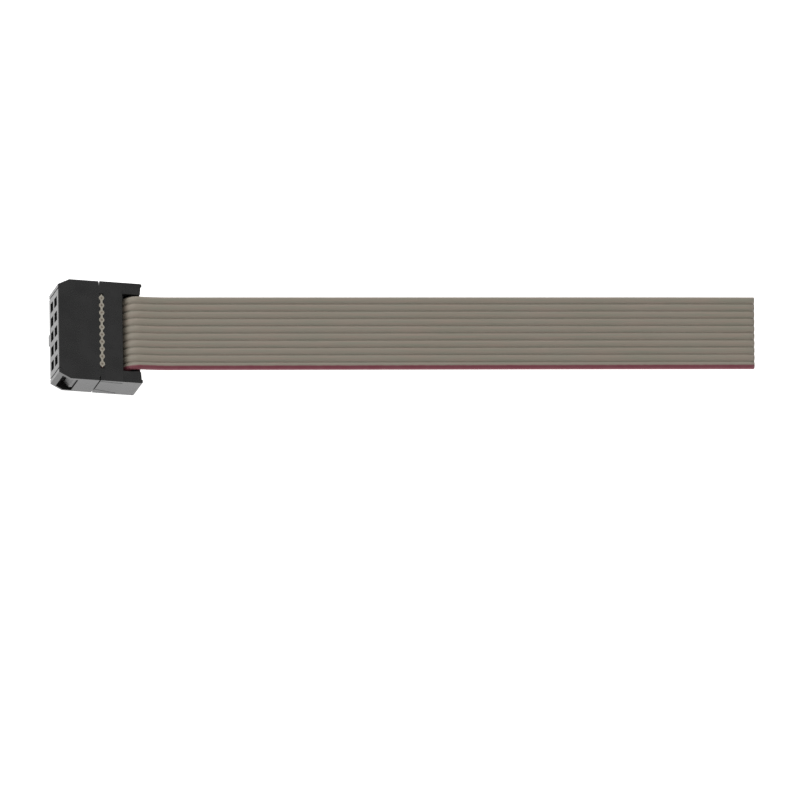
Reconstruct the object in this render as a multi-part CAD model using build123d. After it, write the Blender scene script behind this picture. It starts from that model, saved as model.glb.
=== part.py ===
"""Ten-way flat ribbon cable with one insulation-displacement socket connector.

Frame: millimetres, +Z up. The connector lies on its keyed long side, as it rests on a table.
Origin: on the table, under the middle of the connector. -X is the mating direction,
+X is the way the ribbon leaves, +Y runs along the connector's length.
Conductor 1 is the one at the -Y edge of the ribbon, under the coloured stripe.
"""
from build123d import *
import math
import os

os.makedirs("parts", exist_ok=True)

# ---------------------------------------------------------------- driving sizes
WAYS = 10                 # conductors in the ribbon
PITCH = 1.27              # conductor pitch
RIBBON_W = 12.70          # overall width of the ribbon
INS_R = 0.44              # outer radius of the insulation round one conductor
WEB_T = 0.34              # thickness of the web between two conductors
EDGE_T = 0.12             # thickness of the ribbon's outer edge
WIRE_R = 0.19             # radius of the stranded conductor

LEN_Y = 17.30             # connector length
HEIGHT = 14.14            # mating face to the rear of the strain relief
THICK = 6.10              # connector thickness without the key
KEY_H = 1.00              # polarising key, proud of the long side
KEY_W = 1.80
KEY_L = 5.00

PIN_PITCH = 2.54
XM = -HEIGHT / 2          # x of the mating face
ZF = KEY_H                # z of the keyed (lower) long side
ZN = KEY_H + THICK        # z of the upper long side
ZC = (ZF + ZN) / 2
HY = LEN_Y / 2

RIB_X = XM + 7.33         # plane of the ribbon between housing and cover
OUT_X = XM + 11.30        # plane of the ribbon between cover and strain relief
FLOOR_Z = INS_R           # height of the ribbon's centre where it lies on the table

ROW_FAR = ZC - PIN_PITCH / 2    # odd contacts, key side
ROW_NEAR = ZC + PIN_PITCH / 2   # even contacts
FORK_T = 0.25             # thickness of the contact strip
SLOT_HALF = 0.15          # half width of the fork's wire slot
TINE_HALF = 0.52          # half width of the fork


def wire_y(i):
    """y of conductor i, from 1 at the -Y edge."""
    return (i - 1 - (WAYS - 1) / 2) * PITCH


def pin_y(i):
    """y of the socket hole of contact i."""
    return (math.ceil(i / 2) - 1 - (WAYS / 2 - 1) / 2) * PIN_PITCH


def fork_z(i):
    """lowest and highest z of contact i's flat strip."""
    if i % 2:
        return ROW_FAR - 0.73, ROW_FAR - 0.73 + FORK_T
    return ROW_NEAR + 0.73 - FORK_T, ROW_NEAR + 0.73


def box(x0, x1, y0, y1, z0, z1):
    """A box from the mating face: x is measured from that face."""
    return Pos(XM + x0, y0, z0) * Box(
        x1 - x0, y1 - y0, z1 - z0, align=(Align.MIN, Align.MIN, Align.MIN)
    )


def both(x0, x1, y0, y1, z0, z1):
    """The same box at both ends of the connector."""
    return [box(x0, x1, y0, y1, z0, z1), box(x0, x1, -y1, -y0, z0, z1)]


def slab_xy(points, z0, z1, flip=False):
    """A polygon given as (x from the mating face, y), from z0 to z1."""
    pts = [(XM + x, -y if flip else y) for x, y in points]
    if flip:
        pts = pts[::-1]
    return Pos(0, 0, z0) * extrude(make_face(Polyline(*pts, close=True)), z1 - z0)


def slab_xz(points, y0, y1):
    """A polygon given as (x from the mating face, z), from y0 to y1."""
    face = make_face(Polyline(*[(XM + x, y0, z) for x, z in points], close=True))
    return extrude(face, y1 - y0, dir=(0, 1, 0))


def slab_yz(points, x0, x1, flip=False):
    pts = [(XM + x0, -y if flip else y, z) for y, z in points]
    return extrude(make_face(Polyline(*pts, close=True)), x1 - x0, dir=(1, 0, 0))


# ---------------------------------------------------------------- the ribbon's route
# Corner points of the centreline. The connector sets the first four: the ribbon is pierced
# between housing and cover, folds under the cover and leaves over the strain relief's bar.
# From there it slopes down to the table and lies on it for its last few millimetres.
ROUTE = [
    (RIB_X, 0.0, ZN),            # cut end, flush with the connector's upper long side
    (RIB_X, 0.0, FLOOR_Z),       # under the cover
    (OUT_X, 0.0, FLOOR_Z),
    (OUT_X, 0.0, 7.224),         # over the bar of the strain relief
    (9.50, 0.25, 6.855),         # swings a little to one side as it leaves
    (100.93, 9.345, FLOOR_Z),    # touches down
    (114.02, 10.29, FLOOR_Z),    # square cut, bare end
]
FOLD_R = (OUT_X - RIB_X) / 2
BEND_R = 2.45
SET_RADII = {1: FOLD_R, 2: FOLD_R, 3: BEND_R}

P = [Vector(*p) for p in ROUTE]
runs = [(P[i + 1] - P[i]).length for i in range(len(P) - 1)]
segments = []     # ("line", point, tangent, length) or ("arc", point, tangent, end, turn, radius)
here = P[0]
length_total = 0.0
for i in range(1, len(P) - 1):
    t0 = (P[i] - P[i - 1]).normalized()
    t1 = (P[i + 1] - P[i]).normalized()
    turn = t0.get_angle(t1)
    short = min(runs[i - 1], runs[i])
    radius = SET_RADII.get(i, 0.45 * short / math.tan(math.radians(turn / 2)))
    back = radius * math.tan(math.radians(turn / 2))
    a = P[i] - t0 * back
    if (a - here).length > 1e-6:
        segments.append(("line", here, t0, (a - here).length))
        length_total += (a - here).length
    here = P[i] + t1 * back
    segments.append(("arc", a, t0, here, turn, radius))
    length_total += radius * math.radians(turn)
    print(f"route corner {i}: runs {runs[i - 1]:.1f} and {runs[i]:.1f} mm, turn {turn:.1f} deg, radius {radius:.2f} mm")
t_end = (P[-1] - P[-2]).normalized()
segments.append(("line", here, t_end, (P[-1] - here).length))
length_total += (P[-1] - here).length
print(f"centreline {length_total:.1f} mm")


def across(point, tangent):
    """The plane of the ribbon's section: it always holds the Y direction."""
    flat = Vector(tangent.X, 0, tangent.Z).normalized()
    return Plane(origin=tuple(point), x_dir=(0, 1, 0), z_dir=tuple(flat))


def follow(outline):
    """Carries an outline, made by outline(plane), along the route. Every conductor
    keeps the same path, shifted along Y, so the far end stays parallel to Y."""
    solid = None
    for seg in segments:
        point, tangent = seg[1], seg[2]
        face = outline(across(point, tangent))
        if seg[0] == "line":
            piece = extrude(face, seg[3], dir=tuple(tangent))
        else:
            end, turn, radius = seg[3], seg[4], seg[5]
            if abs(tangent.Y) < 1e-9 and abs(end.Y - point.Y) < 1e-9:
                side = 1 if (end - point).cross(tangent).Y < 0 else -1
                centre = point + Vector(0, side, 0).cross(tangent) * radius
                piece = revolve(face, Axis(tuple(centre), (0, side, 0)), turn)
            else:
                path = TangentArc(tuple(point), tuple(end), tangent=tuple(tangent))
                piece = sweep(face, path=path, binormal=Pos(0, 40, 0) * path)
        solid = piece if solid is None else solid + piece
    return solid


HALF_W = RIBBON_W / 2
TAPER_Y = wire_y(WAYS) + 0.40


def ribbon_outline(plane):
    web = make_face(
        Polyline(
            (-HALF_W, -EDGE_T / 2), (-TAPER_Y, -WEB_T / 2), (TAPER_Y, -WEB_T / 2), (HALF_W, -EDGE_T / 2),
            (HALF_W, EDGE_T / 2), (TAPER_Y, WEB_T / 2), (-TAPER_Y, WEB_T / 2), (-HALF_W, EDGE_T / 2),
            close=True,
        )
    )
    section = Sketch() + web
    section += [Pos(wire_y(i), 0) * Circle(INS_R) for i in range(1, WAYS + 1)]
    section -= [Pos(wire_y(i), 0) * Circle(WIRE_R) for i in range(1, WAYS + 1)]
    return plane * section


def slot_outline(plane, grow):
    section = Sketch() + Rectangle(RIBBON_W + 2 * grow, WEB_T + 2 * grow)
    section += [Pos(wire_y(i), 0) * Circle(INS_R + grow) for i in range(1, WAYS + 1)]
    return plane * section


print("ribbon...")
ribbon = follow(ribbon_outline)

# grooves that the housing and the cover press round the conductors
grooves = extrude(
    slot_outline(Plane(origin=(RIB_X, 0, 0), x_dir=(0, 1, 0), z_dir=(0, 0, 1)), 0.01), 12.0, dir=(0, 0, 1)
)

# ---------------------------------------------------------------- contacts
print("contacts...")
contacts = {}
tines = {}
for i in range(1, WAYS + 1):
    yp, yf = pin_y(i), wire_y(i)
    z0, z1 = fork_z(i)
    s = 1 if i % 2 else -1       # from the flat strip towards the pin
    strip = slab_xy([(1.25, yp - 0.22), (4.1, yp - 0.36), (4.3, yp - 0.58), (5.5, yp - 0.58), (5.5, yp + 0.58),
                     (4.3, yp + 0.58), (4.1, yp + 0.36), (1.25, yp + 0.22)], z0, z1)
    neck = slab_xy([(5.45, yp - 0.45), (6.2, yf - 0.45), (6.2, yf + 0.45), (5.45, yp + 0.45)], z0, z1)
    fork = slab_xy([(6.1, yf - TINE_HALF), (8.55, yf - TINE_HALF), (9.05, yf - 0.36), (8.65, yf - SLOT_HALF),
                    (6.75, yf - SLOT_HALF), (6.75, yf + SLOT_HALF), (8.65, yf + SLOT_HALF), (9.05, yf + 0.36),
                    (8.55, yf + TINE_HALF), (6.1, yf + TINE_HALF)], z0, z1)
    # folded side and the opposite spring leaf
    inner = z1 if s > 0 else z0          # face of the strip that looks at the pin
    far = inner + s * 1.18
    side = box(4.3, 5.5, yp + 0.33, yp + 0.58, min(inner - s * 0.1, far), max(inner - s * 0.1, far))
    leaf = slab_xz([(5.5, far), (4.2, far), (2.5, far - s * 0.42), (1.25, far - s * 0.16), (1.25, far - s * 0.38),
                    (2.5, far - s * 0.64), (4.2, far - s * 0.22), (5.5, far - s * 0.22)], yp - 0.34, yp + 0.34)
    leaf_root = box(4.3, 5.5, yp - 0.34, yp + 0.58, min(far, far - s * 0.22), max(far, far - s * 0.22))
    bump = Pos(XM + 2.5, yp, inner - s * 0.06) * Rot(90, 0, 0) * Cylinder(0.26, 0.44)
    bump = bump & box(2.0, 3.0, yp - 0.3, yp + 0.3, min(inner, inner + s), max(inner, inner + s))
    c = strip + neck + fork + side + leaf_root + leaf + bump
    contacts[i] = c
    tines[i] = [
        box(6.5, 9.2, yf + SLOT_HALF, yf + TINE_HALF, z0, z1),
        box(6.5, 9.2, yf - TINE_HALF, yf - SLOT_HALF, z0, z1),
    ]

all_tines = [b for i in tines for b in tines[i]]
print("ribbon cut by forks...")
ribbon = ribbon - all_tines

print("conductors...")
wires = {}
for i in range(1, WAYS + 1):
    w = follow(lambda plane, i=i: plane * (Pos(wire_y(i), 0) * Circle(WIRE_R)))
    wires[i] = w - tines[i]

# ---------------------------------------------------------------- socket housing
print("housing...")
WIN_X0, WIN_X1 = 0.80, 3.40       # latch window in each end
CH_X, CH_Y = 2.00, 1.00           # chamfer at the mating corners
PART_X = 6.85                     # top of the housing at its ends

block = slab_xy(
    [(0, -(HY - CH_Y)), (CH_X, -HY), (PART_X, -HY), (PART_X, HY), (CH_X, HY), (0, HY - CH_Y)], ZF, ZN
)
rim = [e for e in block.edges() if e.length > 3.0 and (abs(e.center().Z - ZF) < 1e-3 or abs(e.center().Z - ZN) < 1e-3) and e.center().X < XM + PART_X - 0.5]
block = fillet(rim, 0.10)
pad = box(PART_X - 0.05, 7.05, -6.45, 6.45, ZF, ZN)
key_pts = [(0.0, 0.25), (0.25, 0.0), (KEY_L - 0.5, 0.0), (KEY_L, 0.5), (KEY_L, ZF + 0.3), (0.0, ZF + 0.3)]
key = slab_xz(key_pts, -KEY_W / 2, KEY_W / 2)
key = fillet([e for e in key.edges() if abs(abs(e.center().Y) - KEY_W / 2) < 1e-3 and e.center().Z < 0.3], 0.15)
housing = block + pad + key
cut = []
for i in range(1, WAYS + 1):
    yp, yf = pin_y(i), wire_y(i)
    zr = ROW_FAR if i % 2 else ROW_NEAR
    z0, z1 = fork_z(i)
    outer = z0 if i % 2 else z1
    # square mouth
    cut.append(box(-0.1, 1.02, yp - 0.80, yp + 0.80, zr - 0.875, zr + 0.875))
    lo, hi = (outer - 0.02, outer + 1.52) if i % 2 else (outer - 1.52, outer + 0.02)
    cut.append(box(1.0, 5.6, yp - 0.64, yp + 0.64, lo, hi))
    # throat for the neck and fork, the fork a close fit
    cut.append(slab_xy([(5.3, yp - 0.50), (6.2, yf - TINE_HALF), (6.2, yf + TINE_HALF), (5.3, yp + 0.50)],
                       z0 - 0.02, z1 + 0.02))
    cut.append(box(6.05, 7.2, yf - TINE_HALF, yf + TINE_HALF, z0, z1))
housing = housing - cut
ends = []
for y0, y1 in ((7.15, 7.95), (-7.95, -7.15)):
    ends.append(box(WIN_X0, PART_X + 0.3, y0, y1, 2.10, 6.00))          # leg channel
    ends.append(box(0.0 - 0.1, 0.30, math.copysign(6.95, y0) - 0.11, math.copysign(6.95, y0) + 0.11, ZF - 1, ZN + 1))
ends += both(WIN_X0, WIN_X1, 7.15, HY + 1, ZF + 0.45, ZN - 0.70)         # latch window
housing = housing - ends - [grooves]

# ---------------------------------------------------------------- cover
print("cover...")
COV_REAR = 10.83
core = box(7.83, COV_REAR, -6.5, 6.5, 2.43, ZN)
ribs = box(7.61, 7.90, -6.42, 6.42, 2.70, ZN)
nose = Pos(XM + (7.83 + COV_REAR) / 2, 0, 2.43) * Rot(90, 0, 0) * Cylinder((COV_REAR - 7.83) / 2, 13.0)
cover = core + nose + ribs
posts = []
for sgn in (1, -1):
    for args in (
        (PART_X, 10.84, 6.5, 7.90, ZF, ZN),          # end post
    ):
        x0, x1, y0, y1, z0, z1 = args
        posts.append(box(x0, x1, min(sgn * y0, sgn * y1), max(sgn * y0, sgn * y1), z0, z1))
    # strips that flank the strain relief's arm
    face = [(7.05, ZF), (10.84, ZF), (10.84, ZF + 0.50), (7.05, ZF + 1.60)]
    posts.append(slab_xz(face, min(sgn * 7.85, sgn * HY), max(sgn * 7.85, sgn * HY)))
    face = [(7.05, ZN), (10.84, ZN), (10.84, ZN - 0.82), (7.05, ZN - 0.40)]
    posts.append(slab_xz(face, min(sgn * 7.85, sgn * HY), max(sgn * 7.85, sgn * HY)))
    # leg with its hook
    leg = slab_xy([(8.0, 7.25), (2.2, 7.25), (1.95, 7.40), (1.95, 7.62), (2.75, 8.42), (3.30, 8.42),
                   (3.30, 7.85), (8.0, 7.85)], 2.30, 5.80, flip=sgn < 0)
    posts.append(leg)
cover = cover + posts
pockets = []
for i in range(1, WAYS + 1):
    z0, z1 = fork_z(i)
    pockets.append(box(7.4, 9.30, wire_y(i) - 0.56, wire_y(i) + 0.56, z0 - 0.06, z1 + 0.06))
for sgn in (1, -1):
    pockets.append(box(8.15, 8.95, min(sgn * 7.60, sgn * 8.0), max(sgn * 7.60, sgn * 8.0), 3.1, 5.7))
cover = cover - pockets - [grooves]

# ---------------------------------------------------------------- strain relief
print("strain relief...")
# the bar's upper front edge is fully rounded, with the ribbon bent over it
arc_x, arc_z, arc_r = 13.75, 4.60, 1.98
round_pts = [(arc_x - arc_r * math.cos(math.radians(a)), arc_z + arc_r * math.sin(math.radians(a))) for a in (0, 45, 90)]
mid = [(XM + x, -6.72, z) for x, z in round_pts]
lower = ZF + 0.35
outline = Wire([
    Edge.make_line((XM + arc_x - arc_r, -6.72, lower), mid[0]),
    Edge.make_three_point_arc(*mid),
    Edge.make_line(mid[2], (XM + 13.85, -6.72, round_pts[2][1])),
    Edge.make_line((XM + 13.85, -6.72, round_pts[2][1]), (XM + 13.85, -6.72, lower)),
    Edge.make_line((XM + 13.85, -6.72, lower), (XM + arc_x - arc_r, -6.72, lower)),
])
bar = extrude(Face(outline), 13.44, dir=(0, 1, 0))
relief = bar
parts_sr = []
for sgn in (1, -1):
    post = slab_xy([(10.85, 6.72), (10.85, HY), (13.95, HY), (14.14, HY - 0.12), (14.14, HY - 0.50),
                    (13.95, HY - 0.65), (13.85, 6.72)], ZF, ZN, flip=sgn < 0)
    parts_sr.append(post)
    a0, a1 = min(sgn * 7.95, sgn * HY), max(sgn * 7.95, sgn * HY)
    arm = slab_xz([(7.05, ZF + 1.74), (10.90, ZF + 0.63), (10.90, ZN - 0.97), (7.05, ZN - 0.54)], a0, a1)
    parts_sr.append(arm)
    ridge = slab_xy([(8.25, 7.97), (8.45, 7.70), (8.70, 7.70), (8.85, 7.97)], 3.2, 5.6, flip=sgn < 0)
    parts_sr.append(ridge)
relief = relief + parts_sr

# ---------------------------------------------------------------- write
nodes = {
    "socket_housing": housing,
    "cable_cover": cover,
    "strain_relief": relief,
    "ribbon_insulation": ribbon,
}
for i in range(1, WAYS + 1):
    nodes[f"contact_{i:02d}"] = contacts[i]
    nodes[f"conductor_{i:02d}"] = wires[i]
for name, shape in nodes.items():
    solids = shape.solids()
    print(name, "solids", len(solids), "volume", round(sum(x.volume for x in solids), 3), "valid", all(x.is_valid for x in solids))
    export_step(shape if len(solids) > 1 else solids[0], f"parts/{name}.step")

# volume against section times length, for the tubes carried along the route
def area_of(shape):
    return sum(f.area for f in shape.faces())


section = area_of(ribbon_outline(Plane.XY))
print(f"ribbon: section x length {section * length_total:.1f} mm3, solid {sum(x.volume for x in ribbon.solids()):.1f} mm3")
section = math.pi * WIRE_R**2
print(f"conductor: section x length {section * length_total:.2f} mm3, solid {wires[1].volume:.2f} mm3")
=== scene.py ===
import bpy
import math
from mathutils import Matrix, Vector


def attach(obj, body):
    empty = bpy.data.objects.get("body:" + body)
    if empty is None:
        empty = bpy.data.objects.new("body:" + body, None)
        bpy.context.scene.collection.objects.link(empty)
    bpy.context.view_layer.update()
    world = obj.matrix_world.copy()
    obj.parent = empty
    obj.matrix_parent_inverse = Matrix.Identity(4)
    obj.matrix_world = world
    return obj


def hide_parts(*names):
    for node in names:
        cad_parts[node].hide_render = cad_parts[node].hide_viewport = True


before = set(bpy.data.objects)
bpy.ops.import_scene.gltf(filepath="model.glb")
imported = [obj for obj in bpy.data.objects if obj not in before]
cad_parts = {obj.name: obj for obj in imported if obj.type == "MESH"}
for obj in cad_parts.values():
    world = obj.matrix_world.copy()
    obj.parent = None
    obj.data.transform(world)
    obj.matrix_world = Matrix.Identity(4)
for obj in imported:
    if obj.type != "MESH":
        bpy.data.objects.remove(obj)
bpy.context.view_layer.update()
MM = 0.001
WAYS, PITCH = 10, 1.27


def wire_y(i):
    return (i - 5.5) * PITCH


# ------------------------------------------------------------------ materials
def new_material(name):
    m = bpy.data.materials.new(name)
    m.use_nodes = True
    nt = m.node_tree
    bsdf = next(n for n in nt.nodes if n.type == "BSDF_PRINCIPLED")
    return m, nt, bsdf


def node(nt, kind, **values):
    n = nt.nodes.new(kind)
    for k, v in values.items():
        if hasattr(n, k):
            setattr(n, k, v)
    return n


def noise(nt, scale, detail=3.0, rough=0.55, vec=None):
    n = nt.nodes.new("ShaderNodeTexNoise")
    n.inputs["Scale"].default_value = scale
    n.inputs["Detail"].default_value = detail
    n.inputs["Roughness"].default_value = rough
    if vec is None:
        tc = nt.nodes.new("ShaderNodeTexCoord")
        vec = tc.outputs["Object"]
    nt.links.new(vec, n.inputs["Vector"])
    return n


def ramp(nt, src, stops, interp="LINEAR"):
    r = nt.nodes.new("ShaderNodeValToRGB")
    r.color_ramp.interpolation = interp
    el = r.color_ramp.elements
    while len(el) < len(stops):
        el.new(0.5)
    for e, (p, c) in zip(el, stops):
        e.position = p
        e.color = (c[0], c[1], c[2], 1) if hasattr(c, "__len__") else (c, c, c, 1)
    nt.links.new(src, r.inputs["Fac"])
    return r


def mix(nt, fac, a, b, blend="MIX"):
    m = nt.nodes.new("ShaderNodeMix")
    m.data_type = "RGBA"
    m.blend_type = blend
    for sock, v in ((m.inputs[0], fac), (m.inputs[6], a), (m.inputs[7], b)):
        if isinstance(v, bpy.types.NodeSocket):
            nt.links.new(v, sock)
        elif hasattr(v, "__len__"):
            sock.default_value = (v[0], v[1], v[2], 1)
        else:
            sock.default_value = v
    return m.outputs[2]


def math_node(nt, op, a, b=0.0, c=None, clamp=False):
    m = nt.nodes.new("ShaderNodeMath")
    m.operation = op
    m.use_clamp = clamp
    for sock, v in zip(m.inputs, (a, b, c)):
        if v is None:
            continue
        if isinstance(v, bpy.types.NodeSocket):
            nt.links.new(v, sock)
        else:
            sock.default_value = v
    return m.outputs[0]


def bump(nt, bsdf, height, distance, strength):
    b = nt.nodes.new("ShaderNodeBump")
    b.inputs["Distance"].default_value = distance
    b.inputs["Strength"].default_value = strength
    nt.links.new(height, b.inputs["Height"])
    nt.links.new(b.outputs["Normal"], bsdf.inputs["Normal"])


def plastic(name, dark, light, rough0, rough1, seed):
    m, nt, bsdf = new_material(name)
    grain = noise(nt, 5200 + seed, 4.0, 0.6)
    cloud = noise(nt, 260 + seed, 2.0, 0.5)
    fac = math_node(nt, "MULTIPLY_ADD", cloud.outputs["Fac"], 0.6, math_node(nt, "MULTIPLY", grain.outputs["Fac"], 0.4))
    col = ramp(nt, fac, [(0.35, dark), (0.65, light)])
    nt.links.new(col.outputs["Color"], bsdf.inputs["Base Color"])
    rr = ramp(nt, fac, [(0.3, rough0), (0.7, rough1)])
    nt.links.new(rr.outputs["Color"], bsdf.inputs["Roughness"])
    bump(nt, bsdf, grain.outputs["Fac"], 0.00002, 0.35)
    bsdf.inputs["Specular IOR Level"].default_value = 0.8
    return m


housing_mat = plastic("housing_plastic", (0.0122, 0.0122, 0.0124), (0.0162, 0.0162, 0.0162), 0.22, 0.32, 0)
cover_mat = plastic("cover_plastic", (0.0126, 0.0126, 0.0128), (0.0166, 0.0166, 0.0164), 0.23, 0.33, 37)
relief_mat = plastic("relief_plastic", (0.0118, 0.0118, 0.0120), (0.0157, 0.0157, 0.0157), 0.21, 0.31, 71)

contact_mat, nt, bsdf = new_material("contact_tin")
cloud = noise(nt, 900, 3.0)
col = ramp(nt, cloud.outputs["Fac"], [(0.3, (0.50, 0.47, 0.42)), (0.7, (0.68, 0.65, 0.60))])
nt.links.new(col.outputs["Color"], bsdf.inputs["Base Color"])
rr = ramp(nt, cloud.outputs["Fac"], [(0.3, 0.28), (0.7, 0.44)])
nt.links.new(rr.outputs["Color"], bsdf.inputs["Roughness"])
bsdf.inputs["Metallic"].default_value = 1.0
bump(nt, bsdf, noise(nt, 6000, 2.0).outputs["Fac"], 0.00001, 0.3)

strand_mat, nt, bsdf = new_material("tinned_strands")
cloud = noise(nt, 2500, 3.0)
col = ramp(nt, cloud.outputs["Fac"], [(0.3, (0.20, 0.15, 0.11)), (0.7, (0.42, 0.36, 0.30))])
nt.links.new(col.outputs["Color"], bsdf.inputs["Base Color"])
bsdf.inputs["Metallic"].default_value = 0.7
rr = ramp(nt, cloud.outputs["Fac"], [(0.3, 0.42), (0.7, 0.60)])
nt.links.new(rr.outputs["Color"], bsdf.inputs["Roughness"])

GREY_A = (0.336, 0.273, 0.222)
GREY_B = (0.279, 0.267, 0.211)
RED = (0.199, 0.042, 0.062)
ribbon_mat, nt, bsdf = new_material("ribbon_pvc")
at_across = node(nt, "ShaderNodeAttribute", attribute_name="across")
at_along = node(nt, "ShaderNodeAttribute", attribute_name="along")
groove_shade_height = node(nt, "ShaderNodeAttribute", attribute_name="groove")
across = at_across.outputs["Fac"]
tint = noise(nt, 70, 2.0, 0.5)
# faint streaks drawn out along the conductors, as extrusion leaves them
comb = nt.nodes.new("ShaderNodeCombineXYZ")
nt.links.new(math_node(nt, "MULTIPLY", at_along.outputs["Fac"], 0.035), comb.inputs[0])
nt.links.new(across, comb.inputs[1])
streak = noise(nt, 3.4, 4.0, 0.6, comb.outputs[0])
grey = mix(nt, ramp(nt, streak.outputs["Fac"], [(0.36, 0.0), (0.64, 1.0)]).outputs["Color"], GREY_A, GREY_B)
grey = mix(nt, ramp(nt, tint.outputs["Fac"], [(0.40, 0.0), (0.60, 0.10)]).outputs["Color"], grey, (0.35, 0.32, 0.275))
# painted shade: the grooves between the conductors and the web are darkened towards (0.17, 0.152, 0.125), on both faces
# of the ribbon
grey = mix(nt, ramp(nt, groove_shade_height.outputs["Fac"], [(0.0, 0.16), (0.45, 0.0)]).outputs["Color"], grey, (0.17, 0.152, 0.125))
# painted highlight: along the thin +y outer edge the colour is lightened towards (0.43, 0.41, 0.37)
painted_edge_highlight = ramp(nt, math_node(nt, "MULTIPLY_ADD", across, 4.0, -24.2, clamp=True), [(0.0, 0.0), (1.0, 0.35)])
grey = mix(nt, painted_edge_highlight.outputs["Color"], grey, (0.43, 0.41, 0.37))
wobble = noise(nt, 900, 3.0, 0.6)
edge = math_node(nt, "MULTIPLY_ADD", wobble.outputs["Fac"], 0.16, math_node(nt, "SUBTRACT", across, 0.08))
ink = ramp(nt, math_node(nt, "MULTIPLY_ADD", edge, -4.0, -22.35, clamp=True), [(0.0, 0.0), (1.0, 1.0)])
inked = mix(nt, ramp(nt, noise(nt, 420, 3.0).outputs["Fac"], [(0.35, 0.0), (0.65, 0.40)]).outputs["Color"], RED, (0.235, 0.080, 0.094))
col = mix(nt, ink.outputs["Color"], grey, inked)
nt.links.new(col, bsdf.inputs["Base Color"])
rr = ramp(nt, streak.outputs["Fac"], [(0.3, 0.40), (0.7, 0.54)])
nt.links.new(rr.outputs["Color"], bsdf.inputs["Roughness"])
bump(nt, bsdf, noise(nt, 3000, 3.0).outputs["Fac"], 0.000012, 0.25)
bsdf.inputs["Specular IOR Level"].default_value = 0.45

cut_mat, nt, bsdf = new_material("ribbon_cut_face")
grain = noise(nt, 4200, 4.0)
col = ramp(nt, grain.outputs["Fac"], [(0.3, (0.30, 0.275, 0.225)), (0.7, (0.46, 0.43, 0.36))])
nt.links.new(col.outputs["Color"], bsdf.inputs["Base Color"])
bsdf.inputs["Roughness"].default_value = 0.62
bump(nt, bsdf, grain.outputs["Fac"], 0.00003, 0.5)


def paint(obj, mat):
    obj.data.materials.clear()
    obj.data.materials.append(mat)


for name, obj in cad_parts.items():
    if name == "socket_housing":
        paint(obj, housing_mat)
    elif name == "cable_cover":
        paint(obj, cover_mat)
    elif name == "strain_relief":
        paint(obj, relief_mat)
    elif name.startswith("contact_"):
        paint(obj, contact_mat)

# ------------------------------------------------------------------ the ribbon's line
ROUTE = [
    (0.26, 0.0, 7.10),
    (0.26, 0.0, 0.44),
    (4.23, 0.0, 0.44),
    (4.23, 0.0, 7.224),
    (9.50, 0.25, 6.855),
    (14.76, 0.773, 6.486),      # on the straight run, past the bend
    (88.20, 8.079, 1.333),      # on the straight run, before it touches down
    (100.93, 9.345, 0.44),
    (114.02, 10.29, 0.44),
]
cu = bpy.data.curves.new("ribbon_line", "CURVE")
cu.dimensions = "3D"
cu.resolution_u = 24
sp = cu.splines.new("NURBS")
sp.points.add(len(ROUTE) - 1)
for p, co in zip(sp.points, ROUTE):
    p.co = (co[0] * MM, co[1] * MM, co[2] * MM, 1.0)
sp.order_u = 3
sp.use_endpoint_u = True
line_obj = bpy.data.objects.new("ribbon_line", cu)
bpy.context.scene.collection.objects.link(line_obj)
bpy.context.view_layer.update()
tmp = bpy.data.meshes.new_from_object(line_obj.evaluated_get(bpy.context.evaluated_depsgraph_get()))
LINE = [v.co.copy() for v in tmp.vertices]
bpy.data.meshes.remove(tmp)
bpy.data.objects.remove(line_obj)
bpy.data.curves.remove(cu)

Y = Vector((0, 1, 0))
NORMALS, ALONG = [], []
run = 0.0
for k, p in enumerate(LINE):
    a, b = LINE[max(k - 1, 0)], LINE[min(k + 1, len(LINE) - 1)]
    t = Vector(((b - a).x, 0, (b - a).z)).normalized()
    NORMALS.append(Vector((-t.z, 0, t.x)))
    if k:
        run += (p - LINE[k - 1]).length
    ALONG.append(run)

# ------------------------------------------------------------------ ribbon mesh
R_INS, WEB, EDGE = 0.44, 0.17, 0.06
PER = 13


def half_height(y, flat):
    """Half thickness of the ribbon at distance y from its middle, in mm. flat is 0 for round
    insulation and 1 where the rounds run closer together."""
    d = min(abs(y - wire_y(i)) for i in range(1, WAYS + 1))
    half, power = R_INS + 0.17 * flat, 2.0 + 0.45 * flat
    c = R_INS * max(1.0 - (d / half) ** power, 0.0) ** (1.0 / power)
    w = WEB if abs(y) < 6.10 else WEB + (EDGE - WEB) * min(1.0, (abs(y) - 6.10) / 0.25)
    return (max(c, 0.001) ** 9 + w**9) ** (1 / 9)


ys = []
for i in range(1, WAYS + 1):
    for j in range(PER):
        # closer together where the round of a conductor meets the web
        s = -1 + 2 * j / PER
        ys.append(wire_y(i) + PITCH / 2 * math.sin(s * math.pi / 2) if abs(s) > 0.98 else wire_y(i) + PITCH / 2 * s)
ys.append(6.35)
ys[0] = -6.35
n = 2 * len(ys)
verts, faces, across_v, along_v, groove_v = [], [], [], [], []
for p, nn, s in zip(LINE, NORMALS, ALONG):
    flat = min(max((s / MM - 3.0) / 5.0, 0.0), 1.0) * 1.0
    outline = [(y, half_height(y, flat)) for y in ys]
    outline += [(y, -h) for y, h in reversed(outline)]
    square = 0.0208 * max(0.0, (s - ALONG[-1]) / MM / 12.0 + 1.0)     # the cut is a degree off square
    for y, h in outline:
        verts.append(p + Y * (y * MM) + nn * (h * MM) + Vector((square * (y - 8.2) * MM, 0, 0)))
        across_v.append(y)
        along_v.append(s / MM)
        # 0 at the web, 1 at the crown of a round; drives the painted shade in the grooves
        groove_v.append((abs(h) - WEB) / (R_INS - WEB))
for k in range(len(LINE) - 1):
    for j in range(n):
        a, b = k * n + j, k * n + (j + 1) % n
        faces.append((a, b, b + n, a + n))
body_faces = len(faces)
m = len(ys)
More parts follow.
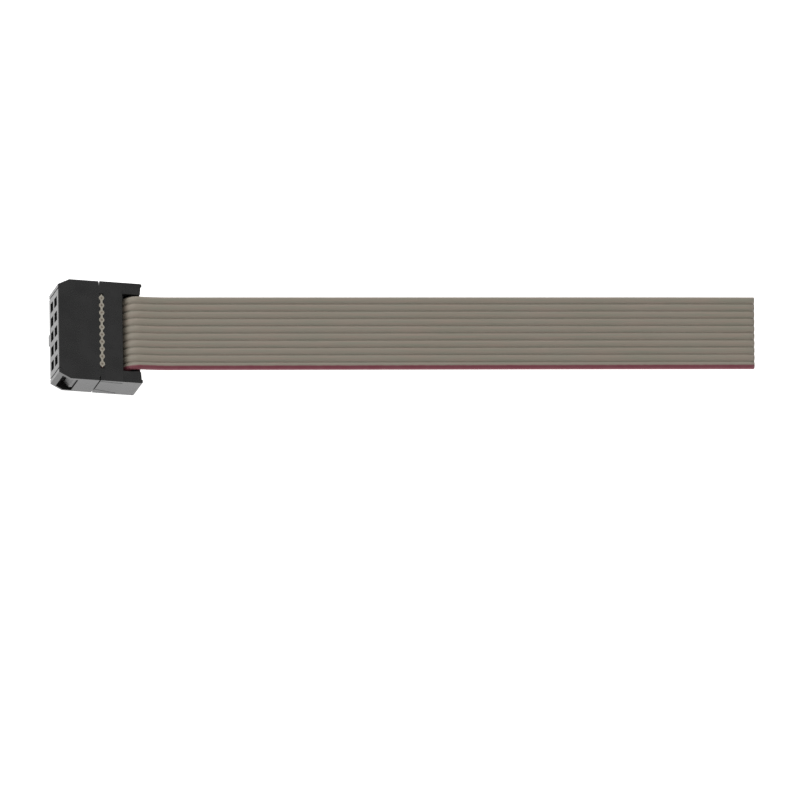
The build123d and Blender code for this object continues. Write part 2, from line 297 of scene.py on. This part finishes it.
for base, flip in ((0, False), ((len(LINE) - 1) * n, True)):
    for j in range(m - 1):
        quad = (base + j, base + n - 1 - j, base + n - 2 - j, base + j + 1)
        faces.append(quad[::-1] if flip else quad)
me = bpy.data.meshes.new("ribbon")
me.from_pydata([tuple(v) for v in verts], [], faces)
me.update()
for name, data in (("across", across_v), ("along", along_v), ("groove", groove_v)):
    at = me.attributes.new(name, "FLOAT", "POINT")
    at.data.foreach_set("value", data)
me.materials.append(ribbon_mat)
me.materials.append(cut_mat)
for i, poly in enumerate(me.polygons):
    poly.use_smooth = i < body_faces
    poly.material_index = 0 if i < body_faces else 1
me.validate()
ribbon = bpy.data.objects.new("ribbon_jacket", me)
bpy.context.scene.collection.objects.link(ribbon)
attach(ribbon, "root")
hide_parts("ribbon_insulation")

# ------------------------------------------------------------------ stranded conductors
SR, LAY, SIDES = 0.0635, 9.0, 6
for i in range(1, WAYS + 1):
    vs, fs = [], []
    for st in range(7):
        rad = 0.0 if st == 0 else 2 * SR
        base = len(vs)
        last = len(LINE) - 1
        for k, (p, nn, s) in enumerate(zip(LINE, NORMALS, ALONG)):
            tang = (LINE[min(k + 1, last)] - LINE[max(k - 1, 0)]).normalized()
            shift = tang * (-0.00003 if k == 0 else 0.0 if k < last else 0.00003) * (1.0 if st else 1.4)
            shift = shift + Vector((0.0208 * max(0.0, (s - ALONG[-1]) / MM / 12.0 + 1.0) * (wire_y(i) - 8.2) * MM, 0, 0))
            turn = 2 * math.pi * (st / 6 + s / MM / LAY)
            cy = rad * math.cos(turn)
            ch = rad * math.sin(turn)
            for q in range(SIDES):
                a = 2 * math.pi * q / SIDES
                vs.append(p + shift + Y * ((wire_y(i) + cy + SR * math.cos(a)) * MM) + nn * ((ch + SR * math.sin(a)) * MM))
        for k in range(last):
            for q in range(SIDES):
                a, b = base + k * SIDES + q, base + k * SIDES + (q + 1) % SIDES
                fs.append((a, b, b + SIDES, a + SIDES))
        fs.append(tuple(base + q for q in range(SIDES))[::-1])
        fs.append(tuple(base + last * SIDES + q for q in range(SIDES)))
    sm = bpy.data.meshes.new(f"strands_{i:02d}")
    sm.from_pydata([tuple(v) for v in vs], [], fs)
    sm.materials.append(strand_mat)
    for poly in sm.polygons:
        poly.use_smooth = len(poly.vertices) == 4
    so = bpy.data.objects.new(f"strands_{i:02d}", sm)
    bpy.context.scene.collection.objects.link(so)
    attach(so, "root")
    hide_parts(f"conductor_{i:02d}")

# ------------------------------------------------------------------ floor, light, camera
bpy.ops.mesh.primitive_plane_add(size=6.0, location=(0.05, 0, 0))
floor = bpy.context.object
floor.name = "floor"
fmat, nt, bsdf = new_material("floor_paper")
bsdf.inputs["Base Color"].default_value = (0.80, 0.80, 0.80, 1)
bsdf.inputs["Emission Color"].default_value = (1, 1, 1, 1)
bsdf.inputs["Emission Strength"].default_value = 0.95
bsdf.inputs["Roughness"].default_value = 0.9
bsdf.inputs["Specular IOR Level"].default_value = 0.1
paint(floor, fmat)

world = bpy.data.worlds.new("studio")
bpy.context.scene.world = world
world.use_nodes = True
wt = world.node_tree
bg = wt.nodes["Background"]
tc = wt.nodes.new("ShaderNodeTexCoord")
sep = wt.nodes.new("ShaderNodeSeparateXYZ")
wt.links.new(tc.outputs["Generated"], sep.inputs[0])
sky = wt.nodes.new("ShaderNodeValToRGB")
sky.color_ramp.elements[0].position = 0.45
sky.color_ramp.elements[0].color = (1.0, 1.0, 1.0, 1)
sky.color_ramp.elements[1].position = 0.80
sky.color_ramp.elements[1].color = (0.22, 0.22, 0.22, 1)
wt.links.new(sep.outputs[2], sky.inputs["Fac"])
wt.links.new(sky.outputs["Color"], bg.inputs["Color"])
bg.inputs["Strength"].default_value = 1.0


def area(name, loc, target, size, power):
    ld = bpy.data.lights.new(name, "AREA")
    ld.size = size
    ld.energy = power
    lo = bpy.data.objects.new(name, ld)
    lo.location = loc
    lo.rotation_euler = (Vector(target) - Vector(loc)).to_track_quat("-Z", "Y").to_euler()
    bpy.context.scene.collection.objects.link(lo)


area("key", (-0.45, 0.60, 0.75), (0.03, 0, 0), 1.1, 4.4)

r = Vector((0.96563, -0.02005, 0.25914))
u = Vector((-0.06824, 0.94249, 0.32721))
c = r.cross(u).normalized()
u = c.cross(r).normalized()
target = (Vector((-7.07, 0, 4.0)) + r * 56.753 - u * 10.84) * MM
cam_data = bpy.data.cameras.new("camera")
cam_data.type = "PERSP"
cam_data.sensor_width = 36.0
cam_data.lens = 36.0 * 2500 / 131.22
cam_data.clip_start = 0.1
cam_data.clip_end = 20.0
cam = bpy.data.objects.new("camera", cam_data)
rot = Matrix((r, u, c)).transposed().to_4x4()
cam.matrix_world = Matrix.Translation(target + c * 2.5) @ rot
bpy.context.scene.collection.objects.link(cam)
bpy.context.scene.camera = cam
bpy.context.scene.view_settings.view_transform = "Standard"
bpy.context.scene.view_settings.look = "None"
